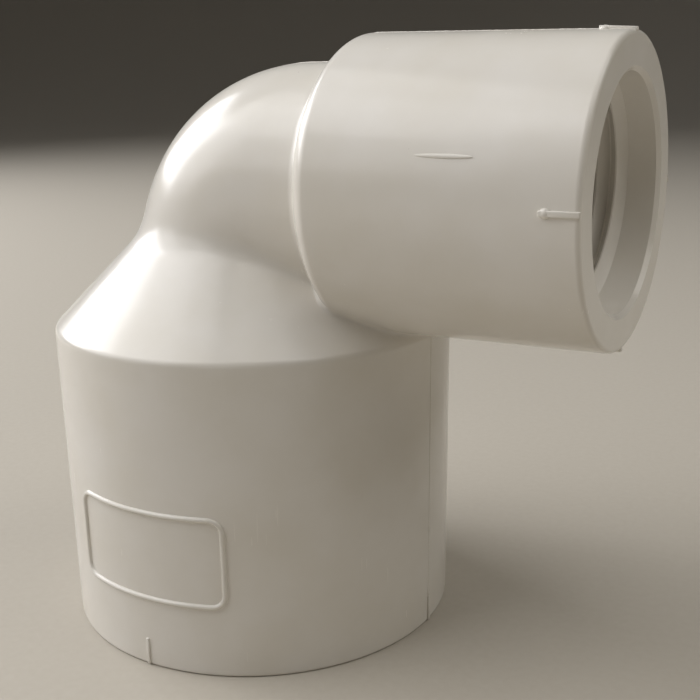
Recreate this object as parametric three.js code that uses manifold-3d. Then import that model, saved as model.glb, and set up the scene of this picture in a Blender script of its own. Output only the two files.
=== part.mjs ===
// A reducing 90 degree elbow for irrigation pipe, injection moulded in one shot from white PVC.
// A 1 in solvent-weld socket opens downwards and a 1/2 in female pipe thread opens sideways, along +X.
// The moulding is split on flat planes into the regions a pipe fitter would name.
//
// Millimetres, +Z up. Shapes are drawn about the socket's axis at x = 0, with the socket's rim at z = 0.
// The group then moves them along X, so that the origin is under the middle of the fitting's box.

import * as THREE from "three";
import { mergeVertices } from "three/addons/utils/BufferGeometryUtils.js";
import Module from "manifold-3d";

const INCH = 25.4;

// Slip socket: outside with a little mould draft, and the standard tapered bore for 1 in pipe.
const SOCKET_RIM_R = 20.72;
const SOCKET_TOP_R = 21.0;
const SOCKET_TOP_Z = 31.6;
const SOCKET_BORE_MOUTH_R = (1.325 * INCH) / 2;
const SOCKET_BORE_STOP_R = (1.31 * INCH) / 2;
const PIPE_STOP_Z = 1.125 * INCH;
const PIPE_INSIDE_R = (1.049 * INCH) / 2;
const RIM_CHAMFER = 0.5;

// Elbow bend: a round tube on a quarter circle, with the bore of 1/2 in pipe.
const OUTLET_Z = 46.05;
const BEND_R = 8.2;
const BEND_TUBE_R = 11.66;
const WATERWAY_R = (0.622 * INCH) / 2;

// Reducing shoulder: the outside cone, which runs on into the bend, and the waterway's own cone inside.
const CONE_TOP_R = 9.85;
const CONE_TOP_Z = 42.7;
const INNER_CONE_TOP_Z = OUTLET_Z - BEND_R;
const INNER_CONE_Z = INNER_CONE_TOP_Z - (PIPE_INSIDE_R - WATERWAY_R);

// Threaded hub: a steep rounded back shoulder, then a drafted barrel to the flat mouth.
const SHOULDER_X = 12.8;
const SHOULDER_LENGTH = 2.5;
const HUB_BACK_R = 14.24;
const HUB_MOUTH_R = 13.89;
const MOUTH_X = 39.95;

// Bore of the threaded hub: a smooth lead-in, the root of the tapered thread, and a relief behind it.
const LEAD_IN_R = 10.5;
const LEAD_IN_DEPTH = 2.4;
const MOUTH_CHAMFER = 0.4;
const THREAD_END_DEPTH = 17.4;
const THREAD_RUNOUT = 1;
const RELIEF_R = 9.3;
const RELIEF_END_X = 15.6;
const RELIEF_CONE = RELIEF_R - WATERWAY_R;

// 1/2 in pipe thread: 14 to the inch, 1 in 16 taper on diameter, right-hand, sixty degree flanks.
const THREAD_PITCH = INCH / 14;
const THREAD_TAPER = 1 / 32;
const THREAD_HEIGHT = 1.3;
const THREAD_ROOT_WIDTH = 1.55;
const THREAD_CREST_WIDTH = 0.16;
const THREAD_WALL_GAP = 0.3;
const THREAD_PHASE_DEPTH = 3.9;
const THREAD_FIRST_DEPTH = 3.1;
const THREAD_LAST_DEPTH = 16.6;

// Small raised features on the outside.
const MOUTH_RIB = { length: 3.3, width: 0.5, height: 0.3 };
const SOCKET_TICK = { length: 2.8, width: 0.35, height: 0.18, z: 0.1 };
const SEAM = { width: 0.24, height: 0.08 };
const BORDER = { width: 17.5, height: 9.6, line: 0.55, corner: 1.6, raise: 0.28, z: 12.0 };
const GATE_SCAR = { length: 5.4, width: 0.5, height: 0.22, x: 28.2, angle: 17 };

// Planes between the regions of the moulding.
const SOCKET_SPLIT_Z = 29.4;
const BEND_SPLIT_Z = 40.8;
const HUB_SPLIT_X = SHOULDER_X;

const ROUND_STEPS = 64;
const BORE_STEPS = 48;
const BEND_STEPS = 16;
const SHOULDER_STEPS = 8;
const THREAD_STEPS_PER_TURN = 32;
const CORNER_STEPS = 6;
const FAR = 60;

// How far one shape runs on inside or past the next, so that no two of their faces lie on one plane.
const RUN_ON = 1;

// Vertices closer than this are one vertex.
const WELD = 1e-4;

const wasm = await Module();
wasm.setup();

// A closed geometry as a manifold-3d solid. Triangles that a lathe folds flat on its axis are dropped.
function toSolid(geometry) {
  const bare = geometry.clone();
  bare.deleteAttribute("normal");
  bare.deleteAttribute("uv");
  const merged = mergeVertices(bare, WELD);
  const corners = merged.index.array;
  const kept = [];
  for (let i = 0; i < corners.length; i += 3) {
    const [a, b, c] = corners.slice(i, i + 3);
    if (a !== b && b !== c && c !== a) kept.push(a, b, c);
  }
  const vertProperties = merged.attributes.position.array;
  const triVerts = new Uint32Array(kept);
  return new wasm.Manifold(new wasm.Mesh({ numProp: 3, vertProperties, triVerts }));
}

function toGeometry(solid) {
  const { vertProperties, triVerts } = solid.getMesh();
  const geometry = new THREE.BufferGeometry();
  geometry.setAttribute("position", new THREE.BufferAttribute(vertProperties, 3));
  geometry.setIndex(new THREE.BufferAttribute(triVerts, 1));
  geometry.computeVertexNormals();
  return geometry;
}

const addAll = (solids) => solids.reduce((sum, solid) => sum.add(solid));

// The separate bodies of a solid, largest first. A cut along a faceted wall can leave specks behind.
const bodiesOf = (solid) => solid.decompose().sort((a, b) => b.volume() - a.volume());

// Turned solids. A profile is a list of [radius, distance along the axis], from axis to axis.
// Half a step of turn puts a flat facet, not an edge, under each raised feature.
const lathe = (profile, steps) =>
  new THREE.LatheGeometry(profile.map(([r, along]) => new THREE.Vector2(r, along)), steps, Math.PI / steps);
const turnedOnZ = (profile, steps) => toSolid(lathe(profile, steps).rotateX(Math.PI / 2));
const turnedOnX = (profile, steps) =>
  toSolid(lathe(profile, steps).rotateZ(-Math.PI / 2).translate(0, 0, OUTLET_Z));

function block(x0, x1, y0, y1, z0, z1) {
  const box = new THREE.BoxGeometry(x1 - x0, y1 - y0, z1 - z0);
  return toSolid(box.translate((x0 + x1) / 2, (y0 + y1) / 2, (z0 + z1) / 2));
}

// A quarter of a ring about the Y axis, cut short on that axis where the bar is wider than the bend.
// Its section has its corners where the straight bars have theirs.
function quarterBend(radius, steps) {
  const corner = (angle) => [BEND_R + radius * Math.cos(angle), radius * Math.sin(angle)];
  const angles = Array.from({ length: steps }, (_, i) => ((2 * i + 1 - steps) / steps) * Math.PI);
  const profile = angles.map(corner).filter(([r]) => r > 0);
  if (profile.length === steps) {
    profile.push(profile[0]);
  } else {
    const onAxis = Math.sqrt(radius ** 2 - BEND_R ** 2);
    profile.unshift([0, -onAxis]);
    profile.push([0, onAxis]);
  }
  const ring = toSolid(lathe(profile, 4 * BEND_STEPS).rotateY(-Math.PI / (4 * BEND_STEPS)));
  return ring.intersect(block(-FAR, 0, -FAR, FAR, 0, FAR)).translate(BEND_R, 0, OUTLET_Z - BEND_R);
}

// A round bar along the fitting's centre line: up the socket's axis, round the bend and out along +X.
function bar(radius, startZ, endX, steps) {
  const bendZ = OUTLET_Z - BEND_R;
  const riser = turnedOnZ([[0, startZ], [radius, startZ], [radius, bendZ], [0, bendZ]], steps);
  const outlet = turnedOnX([[0, BEND_R], [radius, BEND_R], [radius, endX], [0, endX]], steps);
  return addAll([riser, quarterBend(radius, steps), outlet]);
}

// The outside of the whole moulding, standing proud of its true surface by `proud`.
function outside(proud) {
  const socket = turnedOnZ(
    [
      [0, 0],
      [SOCKET_RIM_R + proud, 0],
      [SOCKET_TOP_R + proud, SOCKET_TOP_Z],
      [CONE_TOP_R + proud, CONE_TOP_Z],
      [0, CONE_TOP_Z],
    ],
    ROUND_STEPS,
  );
  const shoulder = [];
  for (let i = 0; i <= SHOULDER_STEPS; i++) {
    const left = 1 - i / SHOULDER_STEPS;
    const radius = BEND_TUBE_R + (HUB_BACK_R - BEND_TUBE_R) * (1 - left ** 2);
    shoulder.push([radius + proud, SHOULDER_X + SHOULDER_LENGTH * (1 - left)]);
  }
  const hub = turnedOnX(
    [[0, SHOULDER_X], ...shoulder, [HUB_MOUTH_R + proud, MOUTH_X], [0, MOUTH_X]],
    ROUND_STEPS,
  );
  const bend = bar(BEND_TUBE_R + proud, SOCKET_TOP_Z, SHOULDER_X + RUN_ON, ROUND_STEPS);
  return addAll([socket, bend, hub]);
}

// Radius of the thread's root at a depth from the mouth.
const threadRootR = (depth) => LEAD_IN_R - THREAD_TAPER * Math.max(depth - LEAD_IN_DEPTH, 0);

// Everything that is open inside: socket bore, waterway and the bore that carries the thread.
function inside() {
  const socketBore = turnedOnZ(
    [
      [0, -RUN_ON],
      [SOCKET_BORE_MOUTH_R + RIM_CHAMFER, -RUN_ON],
      [SOCKET_BORE_MOUTH_R + RIM_CHAMFER, 0],
      [SOCKET_BORE_MOUTH_R, RIM_CHAMFER],
      [SOCKET_BORE_STOP_R, PIPE_STOP_Z],
      [PIPE_INSIDE_R, PIPE_STOP_Z],
      [PIPE_INSIDE_R, INNER_CONE_Z],
      [WATERWAY_R - RUN_ON, INNER_CONE_TOP_Z + RUN_ON],
      [0, INNER_CONE_TOP_Z + RUN_ON],
    ],
    BORE_STEPS,
  );
  const threadBore = turnedOnX(
    [
      [0, RELIEF_END_X - RELIEF_CONE],
      [WATERWAY_R, RELIEF_END_X - RELIEF_CONE],
      [RELIEF_R, RELIEF_END_X],
      [RELIEF_R, MOUTH_X - THREAD_END_DEPTH - THREAD_RUNOUT],
      [threadRootR(THREAD_END_DEPTH), MOUTH_X - THREAD_END_DEPTH],
      [LEAD_IN_R, MOUTH_X - LEAD_IN_DEPTH],
      [LEAD_IN_R, MOUTH_X - MOUTH_CHAMFER],
      [LEAD_IN_R + MOUTH_CHAMFER, MOUTH_X],
      [LEAD_IN_R + MOUTH_CHAMFER, MOUTH_X + RUN_ON],
      [0, MOUTH_X + RUN_ON],
    ],
    BORE_STEPS,
  );
  return addAll([socketBore, bar(WATERWAY_R, PIPE_STOP_Z + RUN_ON, RELIEF_END_X, BORE_STEPS), threadBore]);
}

// The thread's ridge: one straight bar of its section, then every slice of the bar set on the helix.
function pipeThread() {
  const section = new THREE.Shape();
  section.moveTo(-THREAD_ROOT_WIDTH / 2, THREAD_WALL_GAP);
  section.lineTo(THREAD_ROOT_WIDTH / 2, THREAD_WALL_GAP);
  section.lineTo(THREAD_CREST_WIDTH / 2, THREAD_HEIGHT);
  section.lineTo(-THREAD_CREST_WIDTH / 2, THREAD_HEIGHT);
  section.closePath();
  const turns = (THREAD_LAST_DEPTH - THREAD_FIRST_DEPTH) / THREAD_PITCH;
  const steps = Math.round(turns * THREAD_STEPS_PER_TURN);
  const ridge = new THREE.ExtrudeGeometry(section, { depth: 1, steps, bevelEnabled: false });
  const place = ridge.getAttribute("position");
  for (let i = 0; i < place.count; i++) {
    const depth = THREAD_FIRST_DEPTH + (THREAD_LAST_DEPTH - THREAD_FIRST_DEPTH) * place.getZ(i);
    const angle = ((THREAD_PHASE_DEPTH - depth) / THREAD_PITCH) * 2 * Math.PI;
    const radius = threadRootR(depth) - place.getY(i);
    const x = MOUTH_X - depth + place.getX(i);
    place.setXYZ(i, x, radius * Math.cos(angle), OUTLET_Z + radius * Math.sin(angle));
  }
  return toSolid(ridge);
}

// A raised border with round corners on the front of the socket, where a label would go.
function labelBorder(skin) {
  const frame = (inset) => {
    const w = BORDER.width / 2 - inset;
    const h = BORDER.height / 2 - inset;
    const r = BORDER.corner - inset;
    const outline = new THREE.Shape();
    outline.absarc(w - r, h - r, r, 0, Math.PI / 2);
    outline.absarc(-w + r, h - r, r, Math.PI / 2, Math.PI);
    outline.absarc(-w + r, -h + r, r, Math.PI, 1.5 * Math.PI);
    outline.absarc(w - r, -h + r, r, 1.5 * Math.PI, 2 * Math.PI);
    const options = { depth: FAR, curveSegments: CORNER_STEPS, bevelEnabled: false };
    const slab = new THREE.ExtrudeGeometry(outline, options);
    return toSolid(slab.rotateX(Math.PI / 2).translate(0, 0, BORDER.z));
  };
  return frame(0).subtract(frame(BORDER.line)).intersect(skin);
}

const trueOutside = outside(0);
const moulding = trueOutside.subtract(inside());

// What lies between the true surface and a surface `proud` of it, for raised features that follow a wall.
const skinOf = (proud) => outside(proud).subtract(trueOutside);

const belowSplit = block(-FAR, FAR, -FAR, FAR, -FAR, SOCKET_SPLIT_Z);
const shoulderBox = block(-FAR, HUB_SPLIT_X, -FAR, FAR, SOCKET_SPLIT_Z, BEND_SPLIT_Z);
const bendBox = block(-FAR, HUB_SPLIT_X, -FAR, FAR, BEND_SPLIT_Z, 2 * FAR);
const hubBox = block(HUB_SPLIT_X, FAR, -FAR, FAR, SOCKET_SPLIT_Z, 2 * FAR);

const pieces = new Map();
pieces.set("slip_socket", moulding.intersect(belowSplit));
pieces.set("reducing_shoulder", moulding.intersect(shoulderBox));
pieces.set("elbow_bend", moulding.intersect(bendBox));
pieces.set("threaded_hub", moulding.intersect(hubBox));
pieces.set("female_thread", pipeThread());

// Alignment ribs on the threaded hub, a quarter turn apart, running back from its mouth.
const ribSkin = skinOf(MOUTH_RIB.height);
const ribNames = ["mouth_rib_top", "mouth_rib_back", "mouth_rib_bottom", "mouth_rib_front"];
ribNames.forEach((name, quarter) => {
  const slice = new THREE.BoxGeometry(MOUTH_RIB.length, MOUTH_RIB.width, FAR / 2);
  slice.translate(MOUTH_X - MOUTH_RIB.length / 2, 0, FAR / 4).rotateX((-quarter * Math.PI) / 2);
  pieces.set(name, bodiesOf(toSolid(slice.translate(0, 0, OUTLET_Z)).intersect(ribSkin))[0]);
});

// Short alignment ticks on the socket, a quarter turn apart, running up from its rim.
const tickSkin = skinOf(SOCKET_TICK.height);
const tickNames = ["socket_tick_outlet", "socket_tick_back", "socket_tick_heel", "socket_tick_front"];
tickNames.forEach((name, quarter) => {
  const slice = new THREE.BoxGeometry(FAR / 2, SOCKET_TICK.width, SOCKET_TICK.length);
  slice.translate(FAR / 4, 0, SOCKET_TICK.z + SOCKET_TICK.length / 2).rotateZ((quarter * Math.PI) / 2);
  pieces.set(name, bodiesOf(toSolid(slice).intersect(tickSkin))[0]);
});

pieces.set("label_border", bodiesOf(labelBorder(skinOf(BORDER.raise)))[0]);

// The scar of the moulding gate: a short low streak on the front of the hub.
const scar = new THREE.BoxGeometry(GATE_SCAR.length, FAR / 2, GATE_SCAR.width);
scar.translate(GATE_SCAR.x, -FAR / 4, 0).rotateX(THREE.MathUtils.degToRad(-GATE_SCAR.angle));
scar.translate(0, 0, OUTLET_Z);
pieces.set("gate_scar", bodiesOf(toSolid(scar).intersect(skinOf(GATE_SCAR.height)))[0]);

// Flash where the two mould halves met, in the plane y = 0. It stops at the ribs and ticks.
const marks = addAll([...ribNames, ...tickNames].map((name) => pieces.get(name)));
const seamSlab = block(-FAR, FAR, -SEAM.width / 2, SEAM.width / 2, 0, 2 * FAR);
const seams = bodiesOf(seamSlab.intersect(skinOf(SEAM.height)).subtract(marks));
pieces.set("parting_line_heel", seams[0]);
pieces.set("parting_line_outlet", seams[1]);

const elbow = new THREE.Group();
elbow.position.x = -(MOUTH_X - SOCKET_TOP_R) / 2;
for (const [name, solid] of pieces) {
  const whitePvc = new THREE.MeshStandardMaterial({ color: 0xe4dfd7, roughness: 0.32, metalness: 0 });
  const mesh = new THREE.Mesh(toGeometry(solid), whitePvc);
  mesh.name = name;
  elbow.add(mesh);
}

export default elbow;
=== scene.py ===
import math
import random

import bmesh
import bpy
import numpy as np
from mathutils import Matrix, Vector


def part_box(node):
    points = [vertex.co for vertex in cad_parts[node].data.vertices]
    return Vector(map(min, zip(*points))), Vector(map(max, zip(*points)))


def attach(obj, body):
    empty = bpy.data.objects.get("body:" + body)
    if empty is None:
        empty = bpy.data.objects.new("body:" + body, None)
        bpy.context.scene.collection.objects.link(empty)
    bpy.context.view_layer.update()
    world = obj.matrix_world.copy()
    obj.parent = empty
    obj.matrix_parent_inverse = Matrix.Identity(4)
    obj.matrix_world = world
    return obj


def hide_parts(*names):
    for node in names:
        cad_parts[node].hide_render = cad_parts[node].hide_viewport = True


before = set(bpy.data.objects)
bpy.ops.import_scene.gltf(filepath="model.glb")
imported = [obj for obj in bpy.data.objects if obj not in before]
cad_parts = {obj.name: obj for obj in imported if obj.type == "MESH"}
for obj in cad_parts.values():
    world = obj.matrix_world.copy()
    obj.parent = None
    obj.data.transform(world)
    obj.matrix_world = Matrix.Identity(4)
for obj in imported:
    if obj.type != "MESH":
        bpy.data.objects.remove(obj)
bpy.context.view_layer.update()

# ---------------------------------------------------------------------------
# Camera: close to the fitting, a little above it and to the left of its front.
# ---------------------------------------------------------------------------
lens = bpy.data.cameras.new("camera")
lens.lens = 54.36
lens.sensor_width = 36
lens.clip_start = 0.005
camera = bpy.data.objects.new("camera", lens)
turn = Matrix.Rotation(math.radians(29.73), 4, "Z") @ Matrix.Rotation(math.radians(90 - 15.04), 4, "X")
tilt = Matrix.Rotation(math.radians(-0.98), 4, "Z")
camera.matrix_world = Matrix.Translation((0.0548, -0.09202, 0.05729)) @ turn @ tilt
bpy.context.collection.objects.link(camera)
bpy.context.scene.camera = camera

# ---------------------------------------------------------------------------
# Slip socket: the large hub that 1 in pipe is glued into, open downwards.
# White rigid PVC, injection moulded. Its wall has a trace of draft, so that it leaves the mould.
# ---------------------------------------------------------------------------
# The fitting is drawn in millimetres about the socket's axis, with the socket's rim at z = 0.
mm = 0.001
socket_low, socket_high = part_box("slip_socket")
place = Matrix.Translation(((socket_low.x + socket_high.x) / 2, 0, 0)) @ Matrix.Scale(mm, 4)
to_drawing = place.inverted()


def drawn_box(node):
    """The lowest and highest corners of a CAD node, in the drawing's millimetres."""
    low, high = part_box(node)
    return to_drawing @ low, to_drawing @ high


socket_rim_radius = 20.72
socket_top_radius = 21.0
socket_top = 31.6
socket_rim_edge = 0.35
round_steps = 256


def rounded(a, b, size):
    """The larger of two distances, which is where two solids cross, with the edge between them rounded."""
    step = np.maximum(size - np.abs(a - b), 0) / size
    return np.maximum(a, b) + step * step * size / 4


def filleted(a, b, size):
    """The smaller of two distances, which is two solids joined, with the corner between them filleted."""
    return -rounded(-a, -b, size)


def beside_line(across, along, start, end):
    """Distance outside the line through two points of a turned outline, each (radius, place on the axis)."""
    run, rise = end[0] - start[0], end[1] - start[1]
    length = math.hypot(run, rise)
    return ((across - start[0]) * rise - (along - start[1]) * run) / length


def outline(mesh, points, cuts):
    """A chain of edges through (x, z) points, each cut as many times as its place in cuts says."""
    verts = [mesh.verts.new((x, 0, z)) for x, z in points]
    edges = [mesh.edges.new(ends) for ends in zip(verts, verts[1:])]
    for edge, count in zip(edges, cuts):
        if count:
            bmesh.ops.subdivide_edges(mesh, edges=[edge], cuts=count)


def turned(mesh, axis, steps):
    """The mesh's edges spun once round an axis, joined up, with the faces of the solid outwards."""
    bmesh.ops.spin(
        mesh,
        geom=mesh.edges[:],
        cent=(0, 0, 0),
        axis=axis,
        dvec=(0, 0, 0),
        angle=math.tau,
        steps=steps,
        use_merge=True,
    )
    bmesh.ops.remove_doubles(mesh, verts=mesh.verts, dist=1e-4)
    bmesh.ops.recalc_face_normals(mesh, faces=mesh.faces)


def as_object(mesh, name):
    """A mesh drawn in millimetres as an object of that name, still unplaced."""
    data = bpy.data.meshes.new(name)
    mesh.to_mesh(data)
    mesh.free()
    piece = bpy.data.objects.new(name, data)
    bpy.context.collection.objects.link(piece)
    return piece


# ---------------------------------------------------------------------------
# Reducing shoulder: the outside cone on top of the socket, moulded with it.
# It runs on inwards and upwards until the bend comes out of it, with a soft blend between them.
# ---------------------------------------------------------------------------
cone_top_radius = 9.85
cone_top = 42.7
cone_edge = 0.3
cone_blend = 1.3
wall_cuts, cone_cuts = 38, 34

# The outline has short edges on both sides of each corner that is rounded.
edge_room, edge_cuts = 0.6, 5
rim_corner = (socket_rim_radius, 0)
top_corner = (socket_top_radius, socket_top)
cone_corner = (cone_top_radius, cone_top)


def short_of(corner, other, room):
    """The point that far from a corner of the outline on the way to another."""
    share = room / math.dist(corner, other)
    return tuple(a + (b - a) * share for a, b in zip(corner, other))


skin_line = [
    (0, 0),
    short_of(rim_corner, (0, 0), edge_room),
    rim_corner,
    short_of(rim_corner, top_corner, edge_room),
    short_of(top_corner, rim_corner, edge_room),
    top_corner,
    short_of(top_corner, cone_corner, edge_room),
    cone_corner,
    (0, cone_top),
]
turned_skin = bmesh.new()
skin_cuts = [0, edge_cuts, edge_cuts, wall_cuts, edge_cuts, edge_cuts, cone_cuts, 0]
outline(turned_skin, skin_line, skin_cuts)
turned(turned_skin, (0, 0, 1), round_steps)
socket_and_cone = as_object(turned_skin, "socket_and_cone")


def outside_socket(x, y, z):
    """Distance outside the socket and its cone."""
    radius = np.hypot(x, y)
    wall = beside_line(radius, z, rim_corner, top_corner)
    cone = beside_line(radius, z, top_corner, cone_corner)
    body = rounded(wall, cone, cone_edge)
    return rounded(rounded(body, z - cone_top, cone_edge), -z, socket_rim_edge)


# ---------------------------------------------------------------------------
# Elbow bend: a quarter turn of round tube between the cone and the threaded hub.
# The same moulding as the rest, with the mould's polish on its outside.
# ---------------------------------------------------------------------------
rib_low, rib_high = drawn_box("mouth_rib_front")
outlet_height = (rib_low.z + rib_high.z) / 2
bend_radius = 8.2
tube_radius = 11.66
tube_start = 33.0
tube_end = 14.2
bend_steps = 72
tube_segments = 192
pivot = (bend_radius, 0, outlet_height - bend_radius)

# The bend is tighter than its tube is thick, so the tube is flat on its inner side, just short of the pivot.
# That side lies inside the cone.
short_of_pivot = 0.5
tube = bmesh.new()
bmesh.ops.create_circle(
    tube, radius=tube_radius, segments=tube_segments, matrix=Matrix.Translation((0, 0, tube_start))
)
for vert in tube.verts:
    vert.co.x = min(vert.co.x, bend_radius - short_of_pivot)
bmesh.ops.contextual_create(tube, geom=tube.edges[:])


def extruded(mesh, edges, move):
    """The ring of edges drawn out by a move. Returns the new ring."""
    drawn = bmesh.ops.extrude_edge_only(mesh, edges=edges)["geom"]
    bmesh.ops.translate(mesh, verts=[v for v in drawn if isinstance(v, bmesh.types.BMVert)], vec=move)
    return [e for e in drawn if isinstance(e, bmesh.types.BMEdge) and e.is_boundary]


ring = extruded(tube, tube.edges[:], (0, 0, pivot[2] - tube_start))
last = bmesh.ops.spin(
    tube, geom=ring, cent=pivot, axis=(0, 1, 0), dvec=(0, 0, 0), angle=math.pi / 2, steps=bend_steps
)["geom_last"]
bmesh.ops.contextual_create(tube, geom=[e for e in last if isinstance(e, bmesh.types.BMEdge)])
bmesh.ops.recalc_face_normals(tube, faces=tube.faces)
bend_tube = as_object(tube, "bend_tube")

# The straight stretch after the bend is round all the way, and starts a little inside the bend.
outlet_steps = 15
outlet_overlap = 0.3
outlet_start = bend_radius - outlet_overlap
facing_out = Matrix.Translation((outlet_start, 0, outlet_height)) @ Matrix.Rotation(math.pi / 2, 4, "Y")
outlet = bmesh.new()
bmesh.ops.create_circle(outlet, radius=tube_radius, segments=tube_segments, matrix=facing_out)
ring = outlet.edges[:]
bmesh.ops.contextual_create(outlet, geom=ring)
for step in range(outlet_steps):
    ring = extruded(outlet, ring, ((tube_end - outlet_start) / outlet_steps, 0, 0))
bmesh.ops.contextual_create(outlet, geom=ring)
bmesh.ops.recalc_face_normals(outlet, faces=outlet.faces)
outlet_tube = as_object(outlet, "outlet_tube")


def outside_bend(x, y, z):
    """Distance outside the bend, by the nearest of its riser, its arc and its straight outlet."""
    from_riser = np.abs(x)
    from_outlet = np.abs(z - outlet_height)
    from_arc = np.abs(np.hypot(x - bend_radius, z - pivot[2]) - bend_radius)
    sideways = np.where(
        (x < bend_radius) & (z > pivot[2]), from_arc, np.where(z > pivot[2], from_outlet, from_riser)
    )
    sideways = np.where((x > bend_radius) & (z <= pivot[2]), np.minimum(from_outlet, from_riser), sideways)
    wall = np.hypot(sideways, y) - tube_radius
    return np.maximum(wall, np.maximum(tube_start - z, x - tube_end))


# ---------------------------------------------------------------------------
# Threaded hub: a steep rounded back shoulder and a barrel with a little draft, out to a flat mouth.
# The same moulding. A fillet joins it to the bend, and to the socket where its underside meets it.
# ---------------------------------------------------------------------------
shoulder_start = drawn_box("elbow_bend")[1].x
shoulder_length = 2.5
hub_back_radius = 14.24
hub_mouth_radius = 13.89
mouth = drawn_box("threaded_hub")[1].x
mouth_edge = 0.5
hub_fillet = 0.6
shoulder_steps = 16
barrel_cuts = 50
hub_draft = (hub_back_radius - hub_mouth_radius) / (mouth - shoulder_start - shoulder_length)

shoulder_line = []
for step in range(shoulder_steps + 1):
    left = 1 - step / shoulder_steps
    rise = (hub_back_radius - tube_radius) * (1 - left**2)
    shoulder_line.append((shoulder_start + shoulder_length * (1 - left), tube_radius + rise))
mouth_corner = (mouth, hub_mouth_radius)
hub_line = [
    (shoulder_start, 0),
    *shoulder_line,
    short_of(mouth_corner, shoulder_line[-1], edge_room),
    mouth_corner,
    short_of(mouth_corner, (mouth, 0), edge_room),
    (mouth, 0),
]
hub = bmesh.new()
outline(hub, hub_line, [0] * len(shoulder_line) + [barrel_cuts, edge_cuts, edge_cuts, 0])
turned(hub, (1, 0, 0), round_steps)
bmesh.ops.translate(hub, verts=hub.verts, vec=(0, 0, outlet_height))
threaded_hub_skin = as_object(hub, "threaded_hub_skin")


def outside_hub(x, y, z):
    """Distance outside the hub, whose back shoulder is a parabola in section."""
    behind = shoulder_start + shoulder_length - x
    radius = np.hypot(y, z - outlet_height) - hub_draft * behind
    back = np.maximum(behind, 0) / shoulder_length
    rise = (radius - tube_radius) / (hub_back_radius - tube_radius)
    slope = np.hypot(2 * back / shoulder_length, 1 / (hub_back_radius - tube_radius))
    wall = (back**2 + rise - 1) / slope
    return rounded(wall, x - mouth, mouth_edge)


# ---------------------------------------------------------------------------
# Bore: the tapered socket for the pipe, the pipe stop, the waterway's cone and bend, and the thread's bore.
# The core pins of the mould leave it, so its steps are crisp.
# ---------------------------------------------------------------------------
# Bores and depths of the socket, the pipe and its inside are the standard's, which is in inches.
inch = 25.4
socket_bore_mouth = 1.325 * inch / 2
socket_bore_stop = 1.31 * inch / 2
pipe_stop = 1.125 * inch
pipe_inside = 1.049 * inch / 2
rim_chamfer = 0.5
waterway = 0.622 * inch / 2
lead_in = 10.5
lead_in_depth = 2.4
mouth_chamfer = 0.4
thread_end_depth = 17.4
thread_taper = 1 / 32
relief = 9.3
relief_end = 15.6
relief_step = 1
bore_steps = 192

# Rings of the core, each (radius, place along it): up the riser, and then out along the outlet.
past_face = 1
riser_rings = [
    (socket_bore_mouth + rim_chamfer, -past_face),
    (socket_bore_mouth + rim_chamfer, 0),
    (socket_bore_mouth, rim_chamfer),
    (socket_bore_stop, pipe_stop),
    (pipe_inside, pipe_stop),
    (pipe_inside, pivot[2] - (pipe_inside - waterway)),
    (waterway, pivot[2]),
]
outlet_rings = [
    (waterway, relief_end - (relief - waterway)),
    (relief, relief_end),
    (relief, mouth - thread_end_depth - relief_step),
    (lead_in - thread_taper * (thread_end_depth - lead_in_depth), mouth - thread_end_depth),
    (lead_in, mouth - lead_in_depth),
    (lead_in, mouth - mouth_chamfer),
    (lead_in + mouth_chamfer, mouth),
    (lead_in + mouth_chamfer, mouth + past_face),
]


def next_ring(mesh, ring, radius, centre, move):
    """The ring of edges drawn out along the bore and brought to a new radius about its own centre."""
    ring = extruded(mesh, ring, move)
    verts = list({v for e in ring for v in e.verts})
    middle = centre + Vector(move)
    scale = radius / (verts[0].co - middle).length
    bmesh.ops.scale(mesh, verts=verts, vec=(scale,) * 3, space=Matrix.Translation(-middle))
    return ring, middle


bore = bmesh.new()
radius, height = riser_rings[0]
centre = Vector((0, 0, height))
bmesh.ops.create_circle(bore, radius=radius, segments=bore_steps, matrix=Matrix.Translation(centre))
ring = bore.edges[:]
bmesh.ops.contextual_create(bore, geom=ring)
for radius, height in riser_rings[1:]:
    ring, centre = next_ring(bore, ring, radius, centre, (0, 0, height - centre.z))
last = bmesh.ops.spin(
    bore, geom=ring, cent=pivot, axis=(0, 1, 0), dvec=(0, 0, 0), angle=math.pi / 2, steps=bend_steps
)["geom_last"]
ring = [e for e in last if isinstance(e, bmesh.types.BMEdge)]
centre = Vector((bend_radius, 0, outlet_height))
for radius, place_along in outlet_rings:
    ring, centre = next_ring(bore, ring, radius, centre, (place_along - centre.x, 0, 0))
bmesh.ops.contextual_create(bore, geom=ring)
bmesh.ops.recalc_face_normals(bore, faces=bore.faces)
bore_core = as_object(bore, "bore_core")


# ---------------------------------------------------------------------------
# One moulding: socket, cone, bend and hub joined, drawn onto one smooth skin, and bored.
# It is then parted on the CAD regions' own planes, and every region keeps the skin's normals.
# ---------------------------------------------------------------------------
def outside(points):
    """Distance of each point outside the whole moulding's skin, in millimetres."""
    x, y, z = points[:, 0], points[:, 1], points[:, 2]
    cone_and_bend = filleted(outside_socket(x, y, z), outside_bend(x, y, z), cone_blend)
    return filleted(cone_and_bend, outside_hub(x, y, z), hub_fillet)


def steepest(points):
    """The direction and rate in which that distance grows fastest at each point."""
    small = 1e-4
    rates = [
        (outside(points + small * unit) - outside(points - small * unit)) / (2 * small) for unit in np.eye(3)
    ]
    return np.stack(rates, axis=1)


def onto_skin(points, rounds=8):
    """The points moved along the steepest direction until they lie on the skin."""
    for _ in range(rounds):
        slope = steepest(points)
        points = points - (outside(points) / np.maximum((slope**2).sum(1), 1e-6))[:, None] * slope
    return points


def cut_with(target, tool, operation):
    """A boolean of the target with a closed tool, to be settled later."""
    change = target.modifiers.new(tool.name, "BOOLEAN")
    change.object = tool
    change.operation = operation
    change.solver = "MANIFOLD"


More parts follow.
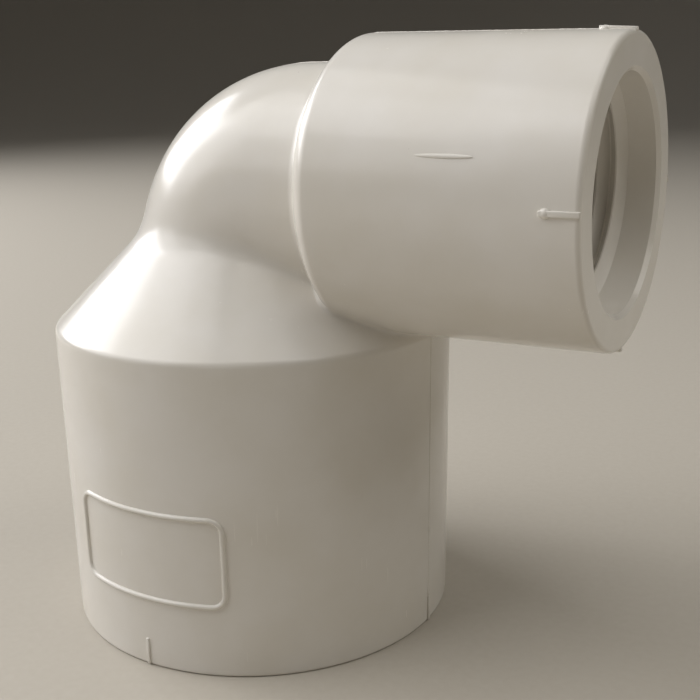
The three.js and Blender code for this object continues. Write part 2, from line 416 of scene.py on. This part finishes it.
def settled(target):
    """The object's mesh with its modifiers applied. The tools are no longer needed after that."""
    shape = target.evaluated_get(bpy.context.evaluated_depsgraph_get())
    target.data = bpy.data.meshes.new_from_object(shape)
    for change in target.modifiers:
        bpy.data.objects.remove(change.object)
    target.modifiers.clear()


moulding = socket_and_cone
for joined in (bend_tube, outlet_tube, threaded_hub_skin):
    cut_with(moulding, joined, "UNION")
settled(moulding)
points = onto_skin(np.array([v.co for v in moulding.data.vertices]))
for vert, point in zip(moulding.data.vertices, points):
    vert.co = point
cut_with(moulding, bore_core, "DIFFERENCE")
settled(moulding)

# Sizes of the plastic's patterns, in millimetres. The peel and the scratches of a real moulding are finer
# than these, which are drawn as coarse as they need to be to show.
pvc_white = "#EEEAE3"
pvc_streak = "#E8E3D9"
speck_brown = "#6E6354"
streak_size = 9.0
ripple_size, ripple_height = 4.5, 0.012
peel_size, peel_height = 0.7, 0.0012
scratch_length, scratch_gap, scratch_depth = 7.0, 0.35, 0.0005
patch_size = 11.0
speck_gap, speck_radius, speck_strength = 3.2, 0.09, 0.8
speckless_share = 0.89
gloss_size = 5.0
gloss, scuffed = 0.2, 0.26
smoothest, dullest = gloss - 0.03, gloss + 0.04


def linear(colour):
    """An sRGB hex colour as linear RGBA."""
    parts = [int(colour[i : i + 2], 16) / 255 for i in (1, 3, 5)]
    return (*[c / 12.92 if c <= 0.04045 else ((c + 0.055) / 1.055) ** 2.4 for c in parts], 1)


def add_node(tree, kind, settings, links):
    """A node of that kind, with its properties or unlinked inputs set, and its other inputs linked."""
    made = tree.nodes.new(kind)
    for name, value in settings.items():
        if str(name) in made.bl_rna.properties:
            setattr(made, name, value)
        else:
            made.inputs[name].default_value = value
    for name, source in links.items():
        tree.links.new(source, made.inputs[name])
    return made


# Rigid PVC, injection moulded in a polished mould: glossy, with slow ripples where it shrank, a fine peel,
# faint flow streaks in its colour, handling scratches and the odd speck of burnt resin.
moulded_pvc = bpy.data.materials.new("injection_moulded_rigid_pvc")
moulded_pvc.use_nodes = True
tree = moulded_pvc.node_tree
tree.nodes.clear()
spot = add_node(tree, "ShaderNodeTexCoord", {}, {}).outputs["Object"]

# Height, in millimetres: ripples and peel, less the scratches, which run one way and lie in patches.
ripple_noise = {"Scale": 1 / (ripple_size * mm), "Detail": 1}
ripple_clouds = add_node(tree, "ShaderNodeTexNoise", ripple_noise, {"Vector": spot})
ripples = add_node(
    tree, "ShaderNodeMath", {"operation": "MULTIPLY", 1: ripple_height}, {0: ripple_clouds.outputs["Fac"]}
)
peel_noise = {"Scale": 1 / (peel_size * mm), "Detail": 2}
peel_clouds = add_node(tree, "ShaderNodeTexNoise", peel_noise, {"Vector": spot})
peel = add_node(
    tree,
    "ShaderNodeMath",
    {"operation": "MULTIPLY_ADD", 1: peel_height},
    {0: peel_clouds.outputs["Fac"], 2: ripples.outputs[0]},
)
drawn_out = {"Scale": (1, 1, scratch_gap / scratch_length), "Rotation": (0.5, 0.9, 0.2)}
brushed = add_node(tree, "ShaderNodeMapping", drawn_out, {"Vector": spot})
fine_noise = {"Scale": 1 / (scratch_gap * mm), "Detail": 1}
fine_lines = add_node(tree, "ShaderNodeTexNoise", fine_noise, {"Vector": brushed.outputs[0]})
thin_lines = add_node(
    tree, "ShaderNodeMapRange", {"From Min": 0.66, "From Max": 0.72}, {"Value": fine_lines.outputs["Fac"]}
)
patch_noise = {"Scale": 1 / (patch_size * mm), "Detail": 2}
patches = add_node(tree, "ShaderNodeTexNoise", patch_noise, {"Vector": spot})
handled = add_node(
    tree, "ShaderNodeMapRange", {"From Min": 0.5, "From Max": 0.62}, {"Value": patches.outputs["Fac"]}
)
scratches = add_node(
    tree, "ShaderNodeMath", {"operation": "MULTIPLY"}, {0: thin_lines.outputs[0], 1: handled.outputs[0]}
)
height = add_node(
    tree,
    "ShaderNodeMath",
    {"operation": "MULTIPLY_ADD", 1: -scratch_depth},
    {0: scratches.outputs[0], 2: peel.outputs[0]},
)
relief_normal = add_node(
    tree, "ShaderNodeBump", {"Distance": mm, "Strength": 1}, {"Height": height.outputs[0]}
)

# Colour: flow streaks, and a speck in a few of the cells of a pattern.
streak_noise = {"Scale": 1 / (streak_size * mm), "Detail": 4}
streaks = add_node(tree, "ShaderNodeTexNoise", streak_noise, {"Vector": spot})
streaked = add_node(
    tree, "ShaderNodeMapRange", {"From Min": 0.35, "From Max": 0.7}, {"Value": streaks.outputs["Fac"]}
)
plastic_colour = add_node(
    tree,
    "ShaderNodeMix",
    {"data_type": "RGBA", 6: linear(pvc_white), 7: linear(pvc_streak)},
    {0: streaked.outputs[0]},
)
cells = {"Scale": 1 / (speck_gap * mm), "feature": "F1"}
speck_cells = add_node(tree, "ShaderNodeTexVoronoi", cells, {"Vector": spot})
near_speck = add_node(
    tree,
    "ShaderNodeMapRange",
    {"From Min": 0, "From Max": speck_radius / speck_gap, "To Min": speck_strength, "To Max": 0},
    {"Value": speck_cells.outputs["Distance"]},
)
cell_share = add_node(tree, "ShaderNodeSeparateColor", {}, {"Color": speck_cells.outputs["Color"]})
chosen = add_node(
    tree, "ShaderNodeMath", {"operation": "GREATER_THAN", 1: speckless_share}, {0: cell_share.outputs["Red"]}
)
few_specks = add_node(
    tree, "ShaderNodeMath", {"operation": "MULTIPLY"}, {0: near_speck.outputs[0], 1: chosen.outputs[0]}
)
colour = add_node(
    tree,
    "ShaderNodeMix",
    {"data_type": "RGBA", 7: linear(speck_brown)},
    {0: few_specks.outputs[0], 6: plastic_colour.outputs[2]},
)

# Gloss: a little uneven all over, and duller in the scratches.
gloss_noise = {"Scale": 1 / (gloss_size * mm), "Detail": 3}
gloss_clouds = add_node(tree, "ShaderNodeTexNoise", gloss_noise, {"Vector": spot})
uneven_gloss = add_node(
    tree,
    "ShaderNodeMapRange",
    {"From Min": 0.3, "From Max": 0.7, "To Min": smoothest, "To Max": dullest},
    {"Value": gloss_clouds.outputs["Fac"]},
)
dulled = add_node(
    tree,
    "ShaderNodeMath",
    {"operation": "MULTIPLY_ADD", 1: scuffed - gloss},
    {0: scratches.outputs[0], 2: uneven_gloss.outputs[0]},
)
shader = add_node(
    tree,
    "ShaderNodeBsdfPrincipled",
    {"IOR": 1.53},
    {"Base Color": colour.outputs[2], "Roughness": dulled.outputs[0], "Normal": relief_normal.outputs[0]},
)
add_node(tree, "ShaderNodeOutputMaterial", {}, {"Surface": shader.outputs["BSDF"]})

# The CAD parts the moulding on two level planes and one upright one.
socket_split = drawn_box("slip_socket")[1].z
bend_split = drawn_box("reducing_shoulder")[1].z
far = 100.0
regions = {
    "slip_socket": ((-far, -far, -far), (far, far, socket_split)),
    "reducing_shoulder": ((-far, -far, socket_split), (shoulder_start, far, bend_split)),
    "elbow_bend": ((-far, -far, bend_split), (shoulder_start, far, far)),
    "threaded_hub": ((shoulder_start, -far, socket_split), (far, far, far)),
}


def dressed(piece, *nodes):
    """The finished piece put in its place on the fitting, in its material, standing for its CAD nodes."""
    piece.data.transform(place)
    piece.data.materials.clear()
    piece.data.materials.append(moulded_pvc)
    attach(piece, "root")
    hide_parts(*nodes)


skin_reach = 0.04
same_plane, same_facing = 1e-3, 0.999
sharp_angle = 30


def with_skin_normals(data, low, high):
    """Shades the outside of the mesh by the skin's own slope, so that no line shows where regions meet."""
    points = np.array([v.co for v in data.vertices])
    slope = steepest(points)
    slope /= np.maximum(np.linalg.norm(slope, axis=1), 1e-9)[:, None]
    centres = np.array([p.center for p in data.polygons])
    facing = np.array([p.normal for p in data.polygons])
    on_skin = np.abs(outside(centres)) < skin_reach
    for side in range(3):
        for plane in (low[side], high[side]):
            off_plane = np.abs(centres[:, side] - plane) > same_plane
            on_skin &= off_plane | (np.abs(facing[:, side]) < same_facing)
    normals = np.zeros((len(data.loops), 3))
    for polygon in data.polygons:
        if on_skin[polygon.index]:
            for corner in polygon.loop_indices:
                normals[corner] = slope[data.loops[corner].vertex_index]
    data.polygons.foreach_set("use_smooth", [True] * len(data.polygons))
    data.set_sharp_from_angle(angle=math.radians(sharp_angle))
    data.normals_split_custom_set(normals)


for name, (low, high) in regions.items():
    cutter = bmesh.new()
    middle = (Vector(low) + Vector(high)) / 2
    size = Matrix.Diagonal((*(Vector(high) - Vector(low)), 1))
    bmesh.ops.create_cube(cutter, size=1, matrix=Matrix.Translation(middle) @ size)
    region = bpy.data.objects.new(name + "_skin", moulding.data)
    bpy.context.collection.objects.link(region)
    cut_with(region, as_object(cutter, "cutter"), "INTERSECT")
    settled(region)
    with_skin_normals(region.data, low, high)
    dressed(region, name)
bpy.data.objects.remove(moulding)

# ---------------------------------------------------------------------------
# Female thread: 1/2 in taper pipe thread, 14 to the inch, right-hand, with sixty degree flanks.
# Moulded on a core that unscrews, so its crests are a little rounded and its ends fade into the bore.
# ---------------------------------------------------------------------------
thread_pitch = inch / 14
thread_height = 1.3
thread_crest = 0.16
crest_round, crest_drop, crest_wear = 0.06, 0.1, 0.02
thread_first_depth = 3.1
thread_last_depth = 16.6
thread_phase_depth = 3.9
thread_root_overlap = 0.05
thread_steps_per_turn = 96
thread_fade_turns = 0.3
thread_least = 0.02

thread_turns = (thread_last_depth - thread_first_depth) / thread_pitch
thread_steps = round(thread_turns * thread_steps_per_turn)
half_root = thread_crest / 2 + thread_height * math.tan(math.radians(30))
thread_section = [
    (-half_root, -thread_root_overlap),
    (-half_root, 0),
    (-thread_crest / 2 - crest_round, thread_height - crest_drop),
    (-thread_crest / 2, thread_height - crest_wear),
    (thread_crest / 2, thread_height - crest_wear),
    (thread_crest / 2 + crest_round, thread_height - crest_drop),
    (half_root, 0),
    (half_root, -thread_root_overlap),
]
start_angle = (thread_phase_depth - thread_first_depth) / thread_pitch * math.tau
thread = bmesh.new()
thread_start = mouth - thread_first_depth
section = [thread.verts.new((thread_start + x, lead_in - y, 0)) for x, y in thread_section]
section_edges = [thread.edges.new((a, b)) for a, b in zip(section, section[1:] + section[:1])]
bmesh.ops.rotate(thread, verts=section, cent=(0, 0, 0), matrix=Matrix.Rotation(start_angle, 3, "X"))
bmesh.ops.contextual_create(thread, geom=section_edges)
last = bmesh.ops.spin(
    thread,
    geom=section_edges,
    cent=(0, 0, 0),
    axis=(1, 0, 0),
    dvec=(-thread_turns * thread_pitch / thread_steps, 0, 0),
    angle=-thread_turns * math.tau,
    steps=thread_steps,
)["geom_last"]
bmesh.ops.contextual_create(thread, geom=[e for e in last if isinstance(e, bmesh.types.BMEdge)])

# The ridge is brought onto the taper, and its two ends fade into the bore's wall.
thread.verts.ensure_lookup_table()
for vert in thread.verts:
    turn = vert.index // len(thread_section) / thread_steps_per_turn
    radial = Vector((0, vert.co.y, vert.co.z))
    fade = min(turn / thread_fade_turns, (thread_turns - turn) / thread_fade_turns, 1)
    depth = thread_first_depth + turn * thread_pitch
    height = max(lead_in - radial.length, -thread_root_overlap) * max(fade, thread_least)
    vert.co += radial.normalized() * (
        lead_in - thread_taper * max(depth - lead_in_depth, 0) - height - radial.length
    )
bmesh.ops.recalc_face_normals(thread, faces=thread.faces)
bmesh.ops.translate(thread, verts=thread.verts, vec=(0, 0, outlet_height))
thread_ridge = as_object(thread, "thread_ridge")


def smooth_with_edges(data, degrees):
    """Smooth shading, with edges sharper than that many degrees kept crisp."""
    data.polygons.foreach_set("use_smooth", [True] * len(data.polygons))
    data.set_sharp_from_angle(angle=math.radians(degrees))


smooth_with_edges(thread_ridge.data, 25)
dressed(thread_ridge, "female_thread")

# ---------------------------------------------------------------------------
# Mouth ribs: four short alignment ribs a quarter turn apart, running back from the threaded mouth.
# They are cut into the mould, so they are one with the hub. Each has a taller nub at its inner end.
# ---------------------------------------------------------------------------
rib_length = 3.3
rib_width = 0.5
rib_height = 0.3
rib_foot = 0.15
rib_edge = 0.09
rib_fall = 0.45
nub_length = 1.0
nub_width = 0.85
nub_height = 0.32


def hub_radius(x):
    """Radius of the hub's barrel at a place along it."""
    return hub_mouth_radius + hub_draft * (mouth - x)


def bar_mesh(length, width, height, foot, edge):
    """A bar along X with soft edges, from x = -length to 0, standing on z = 0 with its foot below that."""
    mesh = bmesh.new()
    size = Matrix.Diagonal((length, width, height + foot, 1))
    middle = Matrix.Translation((-length / 2, 0, (height - foot) / 2))
    bmesh.ops.create_cube(mesh, size=1, matrix=middle @ size)
    top = [e for e in mesh.edges if any(v.co.z > 0 for v in e.verts)]
    bmesh.ops.bevel(
        mesh, geom=top, offset=edge, segments=3, profile=0.5, affect="EDGES", material=-1, clamp_overlap=True
    )
    return mesh


for quarter, name in enumerate(["mouth_rib_top", "mouth_rib_back", "mouth_rib_bottom", "mouth_rib_front"]):
    rib = bar_mesh(rib_length, rib_width, rib_height, rib_foot, rib_edge)
    for vert in rib.verts:
        if vert.co.z > 0:
            vert.co.z *= 1 - rib_fall * (rib_length + vert.co.x) / rib_length
        vert.co.z += hub_radius(mouth + vert.co.x)
    nub = bmesh.ops.create_uvsphere(
        rib,
        u_segments=24,
        v_segments=16,
        radius=1,
        matrix=Matrix.Diagonal((nub_length / 2, nub_width / 2, nub_height, 1)),
    )["verts"]
    for vert in nub:
        vert.co.z = max(vert.co.z, -rib_foot)
    to_end = (nub_length / 2 - rib_length, 0, hub_radius(mouth - rib_length))
    bmesh.ops.translate(rib, verts=nub, vec=to_end)
    bmesh.ops.rotate(
        rib, verts=rib.verts, cent=(0, 0, 0), matrix=Matrix.Rotation(-quarter * math.pi / 2, 3, "X")
    )
    bmesh.ops.translate(rib, verts=rib.verts, vec=(mouth, 0, outlet_height))
    piece = as_object(rib, name + "_bar")
    smooth_with_edges(piece.data, 50)
    dressed(piece, name)

# ---------------------------------------------------------------------------
# Socket ticks: four lower marks of the same kind, running up from the slip socket's rim.
# Cut into the mould too, so each is one with the wall that it stands on.
# ---------------------------------------------------------------------------
tick_length = 2.8
tick_width = 0.35
tick_height = 0.18
tick_start = 0.15

tick_names = ["socket_tick_outlet", "socket_tick_back", "socket_tick_heel", "socket_tick_front"]
for quarter, name in enumerate(tick_names):
    tick = bar_mesh(tick_length, tick_width, tick_height, rib_foot, tick_height / 2)
    bmesh.ops.rotate(tick, verts=tick.verts, cent=(0, 0, 0), matrix=Matrix.Rotation(math.pi / 2, 3, "Y"))
    bmesh.ops.translate(tick, verts=tick.verts, vec=(socket_rim_radius, 0, tick_start))
    bmesh.ops.rotate(
        tick, verts=tick.verts, cent=(0, 0, 0), matrix=Matrix.Rotation(quarter * math.pi / 2, 3, "Z")
    )
    piece = as_object(tick, name + "_bar")
    smooth_with_edges(piece.data, 50)
    dressed(piece, name)

# ---------------------------------------------------------------------------
# Label border: a low raised line round the place for a label on the front of the socket.
# Engraved in the mould, so it stands up from the wall with a rounded crest.
# ---------------------------------------------------------------------------
border_width = 17.5
border_height = 9.6
border_line = 0.55
border_corner = 1.6
border_raise = 0.28
border_middle = 12.0
border_foot = 0.06
crest_steps = 6
corner_segments = 8
piece_length = 0.5

border = bmesh.new()
bmesh.ops.create_grid(
    border, x_segments=1, y_segments=1, size=0.5, matrix=Matrix.Diagonal((border_width, border_height, 1, 1))
)
bmesh.ops.bevel(
    border,
    geom=border.verts[:],
    offset=border_corner,
    segments=corner_segments,
    profile=0.5,
    affect="VERTICES",
    material=-1,
)
for edge in [e for e in border.edges if e.calc_length() > 2 * border_corner]:
    bmesh.ops.subdivide_edges(border, edges=[edge], cuts=int(edge.calc_length() / piece_length))

# The plate is inset round a half circle of steps, which leaves a rounded line, and then taken out.
plate = border.faces[:]
for step in range(crest_steps):
    a, b = (step / crest_steps * math.pi, (step + 1) / crest_steps * math.pi)
    bmesh.ops.inset_region(
        border,
        faces=plate,
        thickness=border_line / 2 * (math.cos(a) - math.cos(b)),
        depth=(border_raise + border_foot) * (math.sin(b) - math.sin(a)),
        use_even_offset=True,
        use_boundary=True,
    )
bmesh.ops.delete(border, geom=plate, context="FACES_ONLY")
rims = [e for e in border.edges if e.is_boundary]
bmesh.ops.bridge_loops(border, edges=rims)
bmesh.ops.recalc_face_normals(border, faces=border.faces)

# The flat line is bent round the socket's wall.
for vert in border.verts:
    height = border_middle + vert.co.y
    wall = socket_rim_radius + (socket_top_radius - socket_rim_radius) * height / socket_top
    round_wall = math.asin(vert.co.x / wall)
    radius = wall - border_foot + vert.co.z
    vert.co = (radius * math.sin(round_wall), -radius * math.cos(round_wall), height)
label_line = as_object(border, "label_line")
smooth_with_edges(label_line.data, 60)
dressed(label_line, "label_border")

# ---------------------------------------------------------------------------
# Gate scar: the low streak on the front of the hub where the plastic was cut from its runner.
# The same plastic, left a little proud of the wall and rounded by the cut.
# ---------------------------------------------------------------------------
scar_length = 5.4
scar_width = 0.4
scar_height = 0.09
scar_middle = 28.2
scar_angle = 17

scar = bmesh.new()
round_bar = Matrix.Diagonal((scar_length / 2, scar_width / 2, scar_height, 1))
bmesh.ops.create_uvsphere(
    scar,
    u_segments=32,
    v_segments=24,
    radius=1,
    matrix=Matrix.Translation((0, 0, hub_radius(scar_middle))) @ round_bar,
)
bmesh.ops.rotate(
    scar, verts=scar.verts, cent=(0, 0, 0), matrix=Matrix.Rotation(math.radians(90 - scar_angle), 3, "X")
)
bmesh.ops.translate(scar, verts=scar.verts, vec=(scar_middle, 0, outlet_height))
gate_mark = as_object(scar, "gate_mark")
smooth_with_edges(gate_mark.data, 50)
dressed(gate_mark, "gate_scar")

# ---------------------------------------------------------------------------
# Parting lines: thin flash where the two halves of the mould met, in the plane y = 0.
# It is a little uneven, and has a few small lumps where the plastic crept further.
# ---------------------------------------------------------------------------
flash_radius = 0.12
flash_height = 0.07
flash_step = 0.25
flash_thinnest, flash_thickest = 0.85, 1.1
flash_lumps = [(10.5, 1.0), (3.3, 0.8)]
lump_length = 0.35
rng = random.Random(14)


def along(start, end):
    """Guide points from one (x, z) to another, a flash step apart."""
    count = math.ceil(math.dist(start, end) / flash_step)
    return [
        (start[0] + (end[0] - start[0]) * i / count, start[1] + (end[1] - start[1]) * i / count)
        for i in range(count + 1)
    ]


# Guide points run near the skin, over the heel and the bend, and are then brought onto it.
bend_top = (bend_radius, outlet_height + tube_radius)
cone_foot = (-socket_top_radius, socket_top)
cone_end = (-12.3, 40.2)
bend_reach = bend_radius + tube_radius
guide_steps, guide_start = 60, 8
bend_guide = []
for step in range(guide_start, guide_steps + 1):
    turn = math.pi - step / guide_steps * math.pi / 2
    bend_guide.append((pivot[0] + bend_reach * math.cos(turn), pivot[2] + bend_reach * math.sin(turn)))
tick_end = tick_start + tick_length
rib_start = mouth - rib_length
shoulder_foot = (shoulder_start, outlet_height + tube_radius)
shoulder_crest = (shoulder_start + shoulder_length, outlet_height + hub_back_radius)
under_socket_corner = (socket_top_radius, socket_top - 0.1)
under_hub = (socket_top_radius + 0.5, outlet_height - hub_radius(socket_top_radius))
guides = {
    "parting_line_heel": along((-socket_rim_radius, tick_end), cone_foot)
    + along(cone_foot, cone_end)[1:]
    + bend_guide
    + along(bend_top, shoulder_foot)[1:]
    + along(shoulder_foot, shoulder_crest)[1:]
    + along(shoulder_crest, (rib_start, outlet_height + hub_radius(rib_start)))[1:],
    "parting_line_outlet": along((socket_rim_radius, tick_end), under_socket_corner)
    + along(under_hub, (rib_start, outlet_height - hub_radius(rib_start))),
}
for name, guide in guides.items():
    path = onto_skin(np.array([(x, 0, z) for x, z in guide]))
    slope = steepest(path)
    path -= slope / np.linalg.norm(slope, axis=1)[:, None] * (flash_radius - flash_height)
    flash = bpy.data.curves.new(name + "_flash", "CURVE")
    flash.dimensions = "3D"
    flash.bevel_depth = flash_radius
    flash.bevel_resolution = 2
    flash.use_fill_caps = True
    spline = flash.splines.new("POLY")
    spline.points.add(len(path) - 1)
    for point, (x, y, z) in zip(spline.points, path):
        point.co = (x, y, z, 1)
        lump = sum(size * math.exp(-(((z - at) / lump_length) ** 2)) for at, size in flash_lumps if x > 0)
        point.radius = rng.uniform(flash_thinnest, flash_thickest) + lump
    rope = bpy.data.objects.new(name + "_flash", flash)
    bpy.context.collection.objects.link(rope)
    solid = bpy.data.meshes.new_from_object(rope.evaluated_get(bpy.context.evaluated_depsgraph_get()))
    bpy.data.objects.remove(rope)
    piece = bpy.data.objects.new(name + "_flash", solid)
    bpy.context.collection.objects.link(piece)
    smooth_with_edges(piece.data, 60)
    dressed(piece, name)

# ---------------------------------------------------------------------------
# Studio: a pale floor that sweeps up all round, and soft lights. This section is in metres.
# ---------------------------------------------------------------------------
flat_radius, sweep_radius, wall_top = 0.9, 0.8, 1.6
sweep_steps, floor_steps = 12, 96
floor_mesh = bmesh.new()
sweep = [(0, 0), (flat_radius, 0)]
for step in range(1, sweep_steps + 1):
    turn = step / sweep_steps * math.pi / 2
    sweep.append((flat_radius + sweep_radius * math.sin(turn), sweep_radius * (1 - math.cos(turn))))
sweep.append((flat_radius + sweep_radius, wall_top))
outline(floor_mesh, sweep, [])
bmesh.ops.spin(
    floor_mesh,
    geom=floor_mesh.edges[:],
    cent=(0, 0, 0),
    axis=(0, 0, 1),
    dvec=(0, 0, 0),
    angle=math.tau,
    steps=floor_steps,
    use_merge=True,
)
bmesh.ops.remove_doubles(floor_mesh, verts=floor_mesh.verts, dist=1e-5)
floor = as_object(floor_mesh, "floor")
smooth_with_edges(floor.data, 60)

# Matte card, a little warm, with a faint fibre in its colour and surface.
card_pale, card_grain = "#C3BDB2", "#BCB5A9"
fibre_size, fibre_height = 0.9, 0.02
card_roughness = 0.85
card = bpy.data.materials.new("matte_pale_card")
card.use_nodes = True
tree = card.node_tree
tree.nodes.clear()
card_spot = add_node(tree, "ShaderNodeTexCoord", {}, {}).outputs["Object"]
fibre = add_node(
    tree, "ShaderNodeTexNoise", {"Scale": 1 / (fibre_size * mm), "Detail": 3}, {"Vector": card_spot}
)
card_colour = add_node(
    tree,
    "ShaderNodeMix",
    {"data_type": "RGBA", 6: linear(card_pale), 7: linear(card_grain)},
    {0: fibre.outputs["Fac"]},
)
card_relief = add_node(
    tree, "ShaderNodeBump", {"Distance": fibre_height * mm, "Strength": 1}, {"Height": fibre.outputs["Fac"]}
)
shader = add_node(
    tree,
    "ShaderNodeBsdfPrincipled",
    {"Roughness": card_roughness},
    {"Base Color": card_colour.outputs[2], "Normal": card_relief.outputs[0]},
)
add_node(tree, "ShaderNodeOutputMaterial", {}, {"Surface": shader.outputs["BSDF"]})
floor.data.materials.append(card)

world = bpy.data.worlds.new("studio")
world.use_nodes = True
world.node_tree.nodes["Background"].inputs["Color"].default_value = linear("#EFF1F4")
world.node_tree.nodes["Background"].inputs["Strength"].default_value = 0.01
bpy.context.scene.world = world
bpy.context.scene.view_settings.view_transform = "Standard"


fitting_middle = (0, 0, 0.03)
light_distance = 0.6


def soft_light(name, azimuth, elevation, size, watts, colour):
    """A rectangular soft light turned to the fitting, placed by two angles in degrees."""
    lamp = bpy.data.lights.new(name, "AREA")
    lamp.shape = "RECTANGLE"
    lamp.size, lamp.size_y = size
    lamp.energy = watts
    lamp.color = linear(colour)[:3]
    light = bpy.data.objects.new(name, lamp)
    swing = Matrix.Rotation(math.radians(azimuth), 4, "Z") @ Matrix.Rotation(math.radians(-elevation), 4, "Y")
    upright = Matrix.Rotation(math.pi / 2, 4, "Z") @ Matrix.Rotation(math.pi / 2, 4, "X")
    facing = Matrix.Translation((light_distance, 0, 0)) @ upright
    light.matrix_world = Matrix.Translation(fitting_middle) @ swing @ facing
    bpy.context.collection.objects.link(light)


soft_light("window", 174, 25, (0.36, 0.3), 1.8, "#FDFDFF")
soft_light("window_near_end", 200, 25, (0.35, 0.35), 0.5, "#FDFDFF")
soft_light("front_wall", 222, 38, (0.6, 0.5), 1.1, "#FDFDFF")
soft_light("upper_front", 215, 56, (0.5, 0.35), 0.95, "#FFFDFA")
soft_light("ceiling", 0, 70, (0.5, 0.5), 0.9, "#FFFCF6")
soft_light("far_wall", 20, 42, (0.4, 0.3), 0.65, "#FFFCF6")
